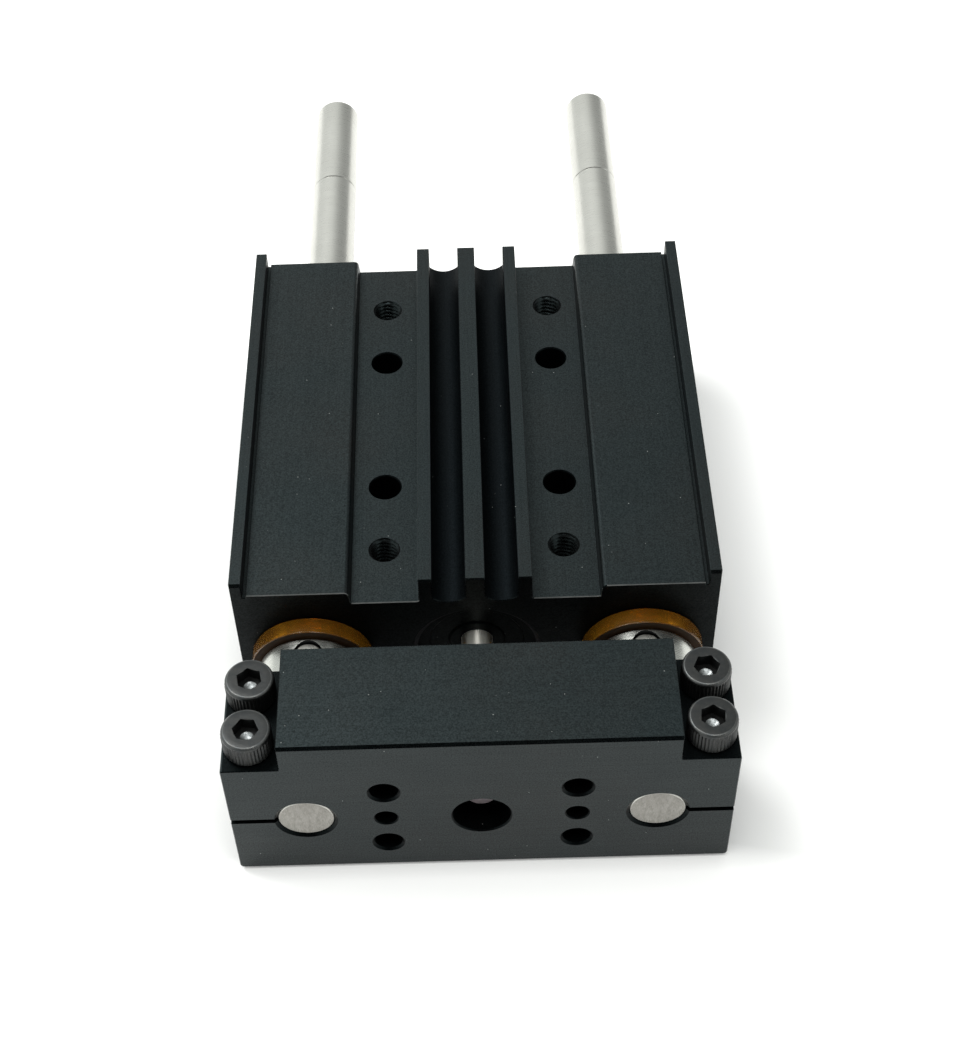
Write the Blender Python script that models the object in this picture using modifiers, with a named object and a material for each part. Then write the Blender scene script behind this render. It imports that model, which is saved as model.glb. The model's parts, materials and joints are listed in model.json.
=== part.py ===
"""Twin-shaft guided slide (linear guide carriage), modelled in metres, +Z up.

X runs across the carriage, Y along the shafts (tool plate towards -Y) and
Z = 0 is the underside of the carriage housing.  The model is drawn fully
retracted, with the shock pads against the housing.
"""
import math

import bmesh
import bpy
from mathutils import Matrix, Vector

MM = 0.001

# ---------------------------------------------------------------- dimensions
# all in millimetres
SHAFT_X = 30.8            # shaft centre line to the middle plane
AXIS_Z = 16.0             # height of both shafts and the piston rod
SHAFT_R = 5.0
SHAFT_L = 203.0

PLATE_FRONT = -81.8
PLATE_T = 21.0
PLATE_BACK = PLATE_FRONT + PLATE_T
PLATE_HALF_W = 44.1
PLATE_BOTTOM = 0.7
NOTCH_X = 34.1            # inner wall of the screw notches
NOTCH_Z = 31.8            # floor of the screw notches
PLATE_TOP = 38.05
SLIT_H = 1.2

HOUSING_HALF_L = 45.5
HOUSING_HALF_W = 44.5
RIB_X = 42.3              # inner face of the outer rib
RIB_Z = 36.9
PAD_OUT_X = 41.7
PAD_IN_X = 23.9
PAD_Z = 33.95
FLAT_OUT_X = 22.75
FLAT_IN_X = 10.65
FLAT_Z = 30.95
FIN_OUT_X = 10.35
FIN_IN_X = 7.8
MID_FIN_X = 1.8
FIN_Z = 36.9
GROOVE_WALL_Z = 31.8      # where the concave groove floor meets the fins
GROOVE_LOW_Z = 30.5

HOLE_X = 16.75            # hole columns, shared by plate and housing
PLAIN_Y = 17.15
THREAD_Y = 32.95
PLAIN_R = 3.0
THREAD_R = 2.5
THREAD_DEPTH = 13.0

BEARING_R = 9.5
BEARING_L = 27.0
CYL_R = 12.0
RING_T = 1.0
RUN = 0.05                # radial running clearance
GAP = 0.3                 # gap kept between faces that touch

CLAMP_X = 39.4
CLAMP_Y = (5.05, 15.55)   # from the plate's front face
SCREW_R = 2.5
HEAD_R = 4.36
HEAD_H = 5.0

COLLAR_R = 10.0
COLLAR_L = 7.0
PAD_R = 11.1
PAD_L = 3.3

ROD_R = 3.0
STROKE = 50.0
PISTON_L = 12.0
PORT_Y = 35.0
PORT_Z = AXIS_Z - 11.8

SEG = 32

# ------------------------------------------------------------------- helpers
for old in list(bpy.data.objects):
    bpy.data.objects.remove(old, do_unlink=True)

parts = bpy.data.collections.new("twin_shaft_slide")
cutters = bpy.data.collections.new("cutters")
bpy.context.scene.collection.children.link(parts)
bpy.context.scene.collection.children.link(cutters)


def material(name, colour, metallic, roughness):
    mat = bpy.data.materials.get(name)
    if mat is None:
        mat = bpy.data.materials.new(name)
        mat.use_nodes = True
        bsdf = mat.node_tree.nodes["Principled BSDF"]
        bsdf.inputs["Base Color"].default_value = (*colour, 1.0)
        bsdf.inputs["Metallic"].default_value = metallic
        bsdf.inputs["Roughness"].default_value = roughness
        mat.diffuse_color = (*colour, 1.0)
    return mat


FINISH = {
    "anodised": ((0.018, 0.020, 0.022), 0.55, 0.42),
    "shaft": ((0.56, 0.55, 0.53), 1.0, 0.28),
    "collar": ((0.66, 0.66, 0.65), 1.0, 0.22),
    "oxide": ((0.030, 0.031, 0.033), 0.7, 0.36),
    "urethane": ((0.62, 0.27, 0.03), 0.0, 0.30),
    "bronze": ((0.50, 0.33, 0.16), 1.0, 0.40),
    "rod": ((0.72, 0.72, 0.72), 1.0, 0.15),
    "spring": ((0.10, 0.10, 0.11), 0.9, 0.38),
    "seal": ((0.012, 0.012, 0.012), 0.0, 0.60),
    "alloy": ((0.70, 0.71, 0.72), 1.0, 0.32),
    "magnet": ((0.09, 0.085, 0.08), 0.3, 0.55),
    "zinc": ((0.60, 0.60, 0.58), 1.0, 0.33),
}


def finish(obj, kind):
    colour, metallic, roughness = FINISH[kind]
    obj.data.materials.clear()
    obj.data.materials.append(material(obj.name + "_" + kind, colour, metallic, roughness))


def link(obj, collection):
    collection.objects.link(obj)
    return obj


def as_cutter(obj):
    obj.hide_render = True
    obj.display_type = "WIRE"
    return obj


def smooth(mesh, angle=32.0):
    mesh.shade_smooth()
    mesh.set_sharp_from_angle(angle=math.radians(angle))


# a turned piece: profile points are (radius, distance along the axis); the
# list runs from the far end (+) down the outer side to the near end (-),
# and back up the bore when the piece is hollow
AXES = {
    "Z": Matrix.Identity(4),
    "Y": Matrix.Rotation(math.radians(-90.0), 4, "X"),    # local +Z -> +Y
    "X": Matrix.Rotation(math.radians(90.0), 4, "Y"),     # local +Z -> +X
}


def turned(name, profile, axis="Y", at=(0, 0, 0), segments=SEG, collection=None, hollow=False):
    mesh = bpy.data.meshes.new(name)
    bm = bmesh.new()
    verts = [bm.verts.new((r * MM, 0.0, t * MM)) for r, t in profile]
    for a, b in zip(verts, verts[1:]):
        bm.edges.new((a, b))
    if hollow:
        bm.edges.new((verts[-1], verts[0]))
    bm.to_mesh(mesh)
    bm.free()
    obj = link(bpy.data.objects.new(name, mesh), collection or parts)
    obj.matrix_world = Matrix.Translation(Vector(at) * MM) @ AXES[axis]
    screw = obj.modifiers.new("Turn", "SCREW")
    screw.axis = "Z"
    screw.angle = math.tau
    screw.steps = segments
    screw.render_steps = segments
    screw.use_merge_vertices = True
    screw.merge_threshold = 0.00001
    screw.use_smooth_shade = True
    return obj


def disc(r, length, chamfer=0.0, top=0.0):
    """Profile of a solid cylinder from top down to top - length."""
    c = chamfer
    if c:
        return [(0, top), (r - c, top), (r, top - c),
                (r, top - length + c), (r - c, top - length), (0, top - length)]
    return [(0, top), (r, top), (r, top - length), (0, top - length)]


def tube(outer, inner, length, chamfer=0.0, top=0.0):
    c = chamfer
    if c:
        return [(inner, top), (outer - c, top), (outer, top - c),
                (outer, top - length + c), (outer - c, top - length), (inner, top - length)]
    return [(inner, top), (outer, top), (outer, top - length), (inner, top - length)]


def cut(target, cutter):
    """Every cutter of a piece sits in one collection, cut in a single Boolean."""
    group = bpy.data.collections.get(target.name + "_cutters")
    if group is None:
        group = bpy.data.collections.new(target.name + "_cutters")
        cutters.children.link(group)
        mod = target.modifiers.new("Cut", "BOOLEAN")
        mod.operation = "DIFFERENCE"
        mod.operand_type = "COLLECTION"
        mod.collection = group
        mod.solver = "EXACT"
    cutters.objects.unlink(cutter)
    group.objects.link(cutter)


def drill(target, name, profile, axis, at, segments=32):
    cutter = as_cutter(turned(name, profile, axis, at, segments, cutters))
    cut(target, cutter)
    return cutter


def box(name, lo, hi, collection):
    mesh = bpy.data.meshes.new(name)
    bm = bmesh.new()
    size = [(b - a) * MM for a, b in zip(lo, hi)]
    mid = [(a + b) / 2 * MM for a, b in zip(lo, hi)]
    bmesh.ops.create_cube(bm, size=1.0, matrix=Matrix.Translation(mid) @ Matrix.Diagonal((*size, 1.0)))
    bm.to_mesh(mesh)
    bm.free()
    return link(bpy.data.objects.new(name, mesh), collection)


def outline_prism(name, points, y0, y1, collection):
    """Flat outline in X-Z, extruded from y0 to y1, as a closed mesh."""
    curve = bpy.data.curves.new(name + "_outline", "CURVE")
    curve.dimensions = "2D"
    curve.fill_mode = "BOTH"
    curve.extrude = abs(y1 - y0) / 2 * MM
    spline = curve.splines.new("POLY")
    spline.points.add(len(points) - 1)
    for p, (x, z) in zip(spline.points, points):
        p.co = (x * MM, z * MM, 0.0, 1.0)
    spline.use_cyclic_u = True
    guide = link(bpy.data.objects.new(name + "_outline", curve), collection)
    guide.matrix_world = (Matrix.Translation((0, (y0 + y1) / 2 * MM, 0))
                          @ Matrix.Rotation(math.radians(90.0), 4, "X"))
    bpy.context.view_layer.update()
    evaluated = guide.evaluated_get(bpy.context.evaluated_depsgraph_get())
    mesh = bpy.data.meshes.new_from_object(evaluated)
    mesh.name = name
    bm = bmesh.new()
    bm.from_mesh(mesh)
    bmesh.ops.remove_doubles(bm, verts=bm.verts, dist=0.000001)
    bmesh.ops.recalc_face_normals(bm, faces=bm.faces)
    bm.to_mesh(mesh)
    bm.free()
    obj = link(bpy.data.objects.new(name, mesh), collection)
    obj.matrix_world = guide.matrix_world
    bpy.data.objects.remove(guide, do_unlink=True)
    return obj


def arc_points(cx, cz, r, a0, a1, steps):
    return [(cx + r * math.cos(math.radians(a0 + (a1 - a0) * i / steps)),
             cz + r * math.sin(math.radians(a0 + (a1 - a0) * i / steps)))
            for i in range(steps + 1)]


def mirrored(half):
    """Close a right-hand half outline (listed bottom to top) over X = 0."""
    return half + [(-x, z) for x, z in reversed(half) if x > 1e-6]


# the two assemblies; a piece that slides hangs under slide_origin
fixed_root = link(bpy.data.objects.new("carriage_origin", None), parts)
slide_root = link(bpy.data.objects.new("slide_origin", None), parts)


def under(obj, parent):
    world = obj.matrix_world.copy()
    obj.parent = parent
    obj.matrix_world = world
    return obj


# ------------------------------------------------------------------- housing
sag = GROOVE_WALL_Z - GROOVE_LOW_Z
half_groove = (FIN_IN_X - MID_FIN_X) / 2
groove_r = (half_groove ** 2 + sag ** 2) / (2 * sag)
groove_x = (FIN_IN_X + MID_FIN_X) / 2
groove_a = math.degrees(math.asin(half_groove / groove_r))
groove = arc_points(groove_x, GROOVE_LOW_Z + groove_r, groove_r,
                    270.0 + groove_a, 270.0 - groove_a, 8)
half = [(HOUSING_HALF_W - 0.6, 0.0), (HOUSING_HALF_W, 0.6),
        (HOUSING_HALF_W, RIB_Z - 0.25), (HOUSING_HALF_W - 0.25, RIB_Z),
        (RIB_X, RIB_Z), (RIB_X, PAD_Z - 0.6), (PAD_OUT_X, PAD_Z - 0.6), (PAD_OUT_X, PAD_Z),
        (PAD_IN_X, PAD_Z), (PAD_IN_X - 0.55, PAD_Z - 0.25), (PAD_IN_X - 0.9, PAD_Z - 0.8),
        (FLAT_OUT_X, FLAT_Z), (FLAT_IN_X, FLAT_Z), (FIN_OUT_X, FLAT_Z + 0.35),
        (FIN_OUT_X, FIN_Z), (FIN_IN_X, FIN_Z)] + groove + [(MID_FIN_X, FIN_Z)]
housing = outline_prism("housing", mirrored(half), -HOUSING_HALF_L, HOUSING_HALF_L, parts)

for side, sx in (("left", -1), ("right", 1)):
    # stepped shaft bore: bearing seats with a retaining-ring groove at each end
    R, RG = BEARING_R + RUN, 10.3
    prof = [(0, 47.0), (R + 0.5, 47.0), (R + 0.5, 45.5), (R, 45.0), (R, 44.6), (RG, 44.6), (RG, 43.3),
            (R, 43.3), (R, -43.3), (RG, -43.3), (RG, -44.6), (R, -44.6), (R, -45.0),
            (R + 0.5, -45.5), (R + 0.5, -47.0), (0, -47.0)]
    drill(housing, "bore_cut_" + side, prof, "Y", (sx * SHAFT_X, 0, AXIS_Z), SEG)
    for end, sy in (("front", -1), ("rear", 1)):
        r, h = PLAIN_R, PLAIN_R + 0.22
        drill(housing, "plain_cut_%s_%s" % (side, end),
              [(0, FLAT_Z + 2), (h, FLAT_Z + 2), (h, FLAT_Z), (r, FLAT_Z - 0.22),
               (r, 0.22), (h, 0.0), (h, -2.0), (0, -2.0)],
              "Z", (sx * HOLE_X, sy * PLAIN_Y, 0), 16)
        r, h = THREAD_R, 2.95
        drill(housing, "thread_cut_%s_%s" % (side, end),
              [(0, 2.0), (h, 2.0), (h, 0.0), (r, -0.45), (r, -THREAD_DEPTH), (0, -THREAD_DEPTH - 1.2)],
              "Z", (sx * HOLE_X, sy * THREAD_Y, FLAT_Z), 16)

RC, RCG = CYL_R, 12.9
drill(housing, "cylinder_cut",
      [(0, 47.0), (RC + 0.4, 47.0), (RC + 0.4, 45.5), (RC, 45.1), (RC, 44.9), (RCG, 44.9), (RCG, 43.5),
       (RC, 43.5), (RC, -43.5), (RCG, -43.5), (RCG, -44.9), (RC, -44.9), (RC, -45.1),
       (RC + 0.4, -45.5), (RC + 0.4, -47.0), (0, -47.0)],
      "Y", (0, 0, AXIS_Z), SEG)
for end, sy in (("front", -1), ("rear", 1)):
    drill(housing, "port_cut_" + end,
          [(0, 2.0), (2.75, 2.0), (2.75, 0.0), (2.1, -0.65), (2.1, -8.0), (1.2, -8.7),
           (1.2, -40.5), (0, -40.5)],
          "X", (HOUSING_HALF_W, sy * PORT_Y, PORT_Z), 12)
finish(housing, "anodised")
under(housing, fixed_root)

# ------------------------------------------------- bearings and their rings
for side, sx in (("left", -1), ("right", 1)):
    for end, sy in (("front", -1), ("rear", 1)):
        top = 43.0 if sy > 0 else -43.0 + BEARING_L
        bearing = turned("bearing_%s_%s" % (end, side),
                         tube(BEARING_R, SHAFT_R + RUN, BEARING_L, 0.0, top),
                         "Y", (sx * SHAFT_X, 0, AXIS_Z), SEG, hollow=True)
        finish(bearing, "bronze")
        under(bearing, fixed_root)
        top = 44.45 if sy > 0 else -43.45
        ring = turned("bearing_ring_%s_%s" % (end, side), tube(10.1, 8.4, RING_T, 0.0, top),
                      "Y", (sx * SHAFT_X, 0, AXIS_Z), 24, hollow=True)
        cut(ring, as_cutter(box("ring_gap_%s_%s" % (end, side),
                                (sx * SHAFT_X - 3.0, top - 2.0, AXIS_Z - 12.0),
                                (sx * SHAFT_X + 3.0, top + 1.0, AXIS_Z), cutters)))
        finish(ring, "spring")
        under(ring, fixed_root)

# ------------------------------------------ cylinder gland, head and seals
gland = turned("cylinder_gland",
               [(ROD_R + RUN, -31.5), (9.4, -31.5), (9.4, -37.2), (CYL_R - RUN, -37.2),
                (CYL_R - RUN, -39.3), (10.3, -39.3), (10.3, -41.3), (CYL_R - RUN, -41.3),
                (CYL_R - RUN, -43.3), (ROD_R + RUN, -43.3),
                (ROD_R + RUN, -36.6), (5.3, -36.6), (5.3, -34.0), (ROD_R + RUN, -34.0)],
               "Y", (0, 0, AXIS_Z), SEG, hollow=True)
finish(gland, "anodised")
under(gland, fixed_root)


def o_ring(name, minor, major, y, parent, steps=6):
    ring = [(major + minor * math.sin(math.tau * i / steps),
             y + minor * math.cos(math.tau * i / steps)) for i in range(steps)]
    obj = turned(name, ring, "Y", (0, 0, AXIS_Z), SEG, hollow=True)
    finish(obj, "seal")
    under(obj, parent)
    return obj


o_ring("gland_o_ring", 0.8, 11.14, -40.3, fixed_root)
rod_seal = turned("rod_seal", tube(5.2, ROD_R + RUN, 2.2, 0.0, -34.2), "Y", (0, 0, AXIS_Z), SEG, hollow=True)
finish(rod_seal, "seal")
under(rod_seal, fixed_root)

head = turned("rear_head",
              [(0, 43.3), (CYL_R - RUN, 43.3), (CYL_R - RUN, 41.3), (10.3, 41.3),
               (10.3, 39.3), (CYL_R - RUN, 39.3), (CYL_R - RUN, 37.2), (9.4, 37.2), (9.4, 32.5), (0, 32.5)],
              "Y", (0, 0, AXIS_Z), SEG)
finish(head, "anodised")
under(head, fixed_root)
o_ring("head_o_ring", 0.8, 11.14, 40.3, fixed_root)

for name, top in (("gland_ring", -43.6), ("head_ring", 44.6)):
    ring = turned(name, tube(12.7, 10.4, RING_T, 0.0, top), "Y", (0, 0, AXIS_Z), 24, hollow=True)
    cut(ring, as_cutter(box(name + "_gap", (-4.0, top - 2.0, AXIS_Z - 14.0),
                            (4.0, top + 1.0, AXIS_Z), cutters)))
    finish(ring, "spring")
    under(ring, fixed_root)

# ---------------------------------------------------------------- tool plate
e = 0.45
half = [(PLATE_HALF_W - 0.9, PLATE_BOTTOM), (PLATE_HALF_W - 0.25, PLATE_BOTTOM + 0.25),
        (PLATE_HALF_W, PLATE_BOTTOM + 0.9), (PLATE_HALF_W, NOTCH_Z - e), (PLATE_HALF_W - e, NOTCH_Z),
        (NOTCH_X, NOTCH_Z), (NOTCH_X, PLATE_TOP)]
plate = outline_prism("tool_plate", mirrored(half), PLATE_FRONT, PLATE_BACK, parts)
# long 45 degree chamfer on the front top edge of the raised block
edge = box("top_chamfer_cut", (-NOTCH_X - 3, -1.0, -1.0), (NOTCH_X + 3, 1.0, 1.0), cutters)
edge.matrix_world = (Matrix.Translation((0, (PLATE_FRONT + 0.25 - math.sqrt(0.5)) * MM,
                                         (PLATE_TOP - 0.25 + math.sqrt(0.5)) * MM))
                     @ Matrix.Rotation(math.radians(45.0), 4, "X"))
cut(plate, as_cutter(edge))
for side, sx in (("left", -1), ("right", 1)):
    R = SHAFT_R + RUN
    drill(plate, "clamp_bore_" + side,
          [(0, PLATE_T + 2), (R + 0.35, PLATE_T + 2), (R + 0.35, PLATE_T), (R, PLATE_T - 0.35),
           (R, 0.35), (R + 0.35, 0), (R + 0.35, -2), (0, -2)],
          "Y", (sx * SHAFT_X, PLATE_FRONT, AXIS_Z), SEG)
    a, b = sorted((sx * (SHAFT_X + 3.0), sx * (PLATE_HALF_W + 2.0)))
    slit = box("slit_" + side, (a, PLATE_FRONT - 2, AXIS_Z - SLIT_H / 2),
               (b, PLATE_BACK + 2, AXIS_Z + SLIT_H / 2), cutters)
    cut(plate, as_cutter(slit))
    for i, y in enumerate(CLAMP_Y):
        drill(plate, "clamp_hole_%s_%d" % (side, i),
              [(0, 2.0), (2.8, 2.0), (2.8, -26.0), (0, -27.2)],
              "Z", (sx * CLAMP_X, PLATE_FRONT + y, NOTCH_Z), 16)
    for name, dz, r, h in (("upper", 8.0, 2.5, 2.92), ("dowel", 0.0, 2.0, 2.2), ("lower", -8.0, 2.5, 2.92)):
        c = h - r
        drill(plate, "face_%s_%s" % (name, side),
              [(0, PLATE_T + 2), (h, PLATE_T + 2), (h, PLATE_T), (r, PLATE_T - c), (r, c), (h, 0),
               (h, -2), (0, -2)],
              "Y", (sx * HOLE_X, PLATE_FRONT, AXIS_Z + dz), 12)
drill(plate, "rod_nut_bore",
      [(0, PLATE_T + 2), (2.8, PLATE_T + 2), (2.8, 11.8), (5.1, 11.8), (5.1, 0.25), (5.35, 0), (5.35, -2), (0, -2)],
      "Y", (0, PLATE_FRONT, AXIS_Z), 36)
finish(plate, "anodised")
under(plate, slide_root)


# ------------------------------------------------------------- clamp screws
def socket_screw(name, at, axis, head_r, head_h, shank_r, shank_l, hex_flats, hex_depth, kind, parent, segments=20):
    """Cap screw; the head's seat is at `at`, the head points along +axis."""
    obj = turned(name, [(0, head_h), (head_r - 0.55, head_h), (head_r, head_h - 0.45), (head_r, 0.0),
                        (shank_r, 0.0), (shank_r, -shank_l + 0.5), (shank_r - 0.5, -shank_l), (0, -shank_l)],
                 axis, at, segments)
    mesh = bpy.data.meshes.new(name + "_hex")
    bm = bmesh.new()
    r = hex_flats / math.sqrt(3.0) * MM
    bmesh.ops.create_cone(bm, cap_ends=True, segments=6, radius1=r, radius2=r, depth=(hex_depth + 1.0) * MM,
                          matrix=Matrix.Translation((0, 0, (head_h - hex_depth + (hex_depth + 1.0) / 2) * MM)))
    bm.to_mesh(mesh)
    bm.free()
    key = link(bpy.data.objects.new(name + "_hex", mesh), cutters)
    key.matrix_world = obj.matrix_world.copy()
    cut(obj, as_cutter(key))
    finish(obj, kind)
    under(obj, parent)
    return obj


for side, sx in (("left", -1), ("right", 1)):
    for where, y in zip(("front", "rear"), CLAMP_Y):
        socket_screw("clamp_screw_%s_%s" % (where, side), (sx * CLAMP_X, PLATE_FRONT + y, NOTCH_Z + GAP), "Z",
                     HEAD_R, HEAD_H, SCREW_R, 25.0, 4.0, 2.5, "oxide", slide_root)

# -------------------------------------------------------------------- shafts
scribe = 29.8
for side, sx in (("left", -1), ("right", 1)):
    L = SHAFT_L
    shaft = turned("shaft_" + side,
                   [(0, L), (SHAFT_R - 0.9, L), (SHAFT_R - 0.25, L - 0.3), (SHAFT_R, L - 0.9),
                    (SHAFT_R, L - scribe + 0.25), (SHAFT_R - 0.2, L - scribe), (SHAFT_R, L - scribe - 0.25),
                    (SHAFT_R, 0.27), (SHAFT_R - 0.27, 0), (0, 0)],
                   "Y", (sx * SHAFT_X, PLATE_FRONT, AXIS_Z), SEG)
    finish(shaft, "shaft")
    under(shaft, slide_root)

    # stop collar with its radial set screw
    back = -HOUSING_HALF_L - 2 * GAP - PAD_L
    collar = turned("stop_collar_" + side, tube(COLLAR_R, SHAFT_R + RUN, COLLAR_L, 0.4, back),
                    "Y", (sx * SHAFT_X, 0, AXIS_Z), SEG, hollow=True)
    mid = back - COLLAR_L / 2
    drill(collar, "collar_screw_hole_" + side, [(0, 12.0), (2.65, 12.0), (2.65, 3.0), (0, 3.0)],
          "Z", (sx * SHAFT_X, mid, AXIS_Z), 16)
    finish(collar, "collar")
    under(collar, slide_root)
    grub = turned("set_screw_" + side, disc(2.3, 4.2, 0.35, 9.55), "Z", (sx * SHAFT_X, mid, AXIS_Z), 16)
    mesh = bpy.data.meshes.new("grub_hex_" + side)
    bm = bmesh.new()
    r = 2.5 / math.sqrt(3.0) * MM
    bmesh.ops.create_cone(bm, cap_ends=True, segments=6, radius1=r, radius2=r, depth=3.0 * MM,
                          matrix=Matrix.Translation((0, 0, 9.0 * MM)))
    bm.to_mesh(mesh)
    bm.free()
    key = link(bpy.data.objects.new("grub_hex_" + side, mesh), cutters)
    key.matrix_world = grub.matrix_world.copy()
    cut(grub, as_cutter(key))
    finish(grub, "oxide")
    under(grub, slide_root)

    pad = turned("shock_pad_" + side, tube(PAD_R, SHAFT_R + GAP, PAD_L, 0.35, -HOUSING_HALF_L - GAP),
                 "Y", (sx * SHAFT_X, 0, AXIS_Z), SEG, hollow=True)
    finish(pad, "urethane")
    under(pad, slide_root)

# --------------------------------------------------------- rod, nut, piston
PISTON_BACK = 31.5
stud_front = PLATE_FRONT + 5.6
rod = turned("piston_rod",
             [(0, PISTON_BACK - 0.5), (2.5, PISTON_BACK - 0.5), (2.5, PISTON_BACK - PISTON_L - GAP),
              (ROD_R, PISTON_BACK - PISTON_L - GAP), (ROD_R, PLATE_BACK + GAP),
              (2.5, PLATE_BACK + GAP), (2.5, stud_front + 0.4), (2.1, stud_front), (0, stud_front)],
             "Y", (0, 0, AXIS_Z), SEG)
finish(rod, "rod")
under(rod, slide_root)

mesh = bpy.data.meshes.new("rod_nut")
bm = bmesh.new()
r = 8.0 / math.sqrt(3.0) * MM
bmesh.ops.create_cone(bm, cap_ends=True, segments=6, radius1=r, radius2=r, depth=4.0 * MM)
bm.to_mesh(mesh)
bm.free()
nut = link(bpy.data.objects.new("rod_nut", mesh), parts)
nut.matrix_world = Matrix.Translation((0, (PLATE_FRONT + 11.5 - 2.0) * MM, AXIS_Z * MM)) @ AXES["Y"]
drill(nut, "rod_nut_thread", [(0, 4.0), (2.8, 4.0), (2.8, -4.0), (0, -4.0)], "Y",
      (0, PLATE_FRONT + 9.5, AXIS_Z), 24)
finish(nut, "zinc")
under(nut, slide_root)

B = PISTON_BACK
RP = CYL_R - RUN
piston = turned("piston",
                [(2.8, B), (RP, B), (RP, B - 1.2), (9.4, B - 1.2), (9.4, B - 3.6),
                 (RP, B - 3.6), (RP, B - 4.8), (9.4, B - 4.8), (9.4, B - 7.2), (RP, B - 7.2),
                 (RP, B - 8.4), (9.4, B - 8.4), (9.4, B - 10.8), (RP, B - 10.8),
                 (RP, B - 12.0), (2.8, B - 12.0)],
                "Y", (0, 0, AXIS_Z), SEG, hollow=True)
finish(piston, "alloy")
under(piston, slide_root)
for name, top, kind in (("piston_seal_rear", B - 1.4, "seal"), ("piston_magnet", B - 5.0, "magnet"),
                        ("piston_seal_front", B - 8.6, "seal")):
    outer = RP if kind == "seal" else RP - 0.25
    ring = turned(name, tube(outer, 9.5, 2.0, 0.0, top), "Y", (0, 0, AXIS_Z), SEG, hollow=True)
    finish(ring, kind)
    under(ring, slide_root)

bpy.context.view_layer.update()
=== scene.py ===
"""Looks for the twin-shaft guided slide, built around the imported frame."""

import json
import math

import bmesh
import bpy
from mathutils import Matrix, Vector

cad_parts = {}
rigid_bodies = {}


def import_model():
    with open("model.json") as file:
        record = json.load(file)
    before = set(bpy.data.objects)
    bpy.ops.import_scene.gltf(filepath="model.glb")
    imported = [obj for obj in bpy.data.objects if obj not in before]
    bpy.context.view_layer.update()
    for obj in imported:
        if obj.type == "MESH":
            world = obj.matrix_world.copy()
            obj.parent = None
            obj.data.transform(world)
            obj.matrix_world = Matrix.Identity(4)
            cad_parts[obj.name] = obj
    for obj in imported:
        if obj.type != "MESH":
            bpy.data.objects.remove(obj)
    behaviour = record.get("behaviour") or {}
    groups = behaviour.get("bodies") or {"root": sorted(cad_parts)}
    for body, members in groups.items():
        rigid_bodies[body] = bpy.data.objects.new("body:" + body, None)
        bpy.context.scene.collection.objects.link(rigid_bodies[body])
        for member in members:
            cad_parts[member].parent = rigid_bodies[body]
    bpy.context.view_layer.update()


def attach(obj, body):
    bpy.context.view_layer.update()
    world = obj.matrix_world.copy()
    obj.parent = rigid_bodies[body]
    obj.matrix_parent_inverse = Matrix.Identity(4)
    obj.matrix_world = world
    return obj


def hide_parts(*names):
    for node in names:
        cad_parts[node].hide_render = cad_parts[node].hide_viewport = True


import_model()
MM = 0.001
TAU = math.tau

# ------------------------------------------------------------- dimensions, mm
SHAFT_X, AXIS_Z, SHAFT_R, SHAFT_L = 30.8, 16.0, 5.0, 203.0
PLATE_FRONT, PLATE_T = -81.8, 21.0
PLATE_BACK = PLATE_FRONT + PLATE_T
PLATE_HALF_W, PLATE_BOTTOM, PLATE_TOP = 44.1, 0.7, 38.05
NOTCH_X, NOTCH_Z = 34.1, 31.8
HALF_L, HALF_W = 45.5, 44.5
RIB_X, FIN_Z = 42.3, 36.9
PAD_Z, FLAT_Z = 33.95, 30.95
HOLE_X, PLAIN_Y, THREAD_Y = 16.75, 17.15, 32.95
CLAMP_X, CLAMP_Y = 39.4, (5.05, 15.55)
GAP, RUN = 0.3, 0.05
SEG = 96


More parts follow.
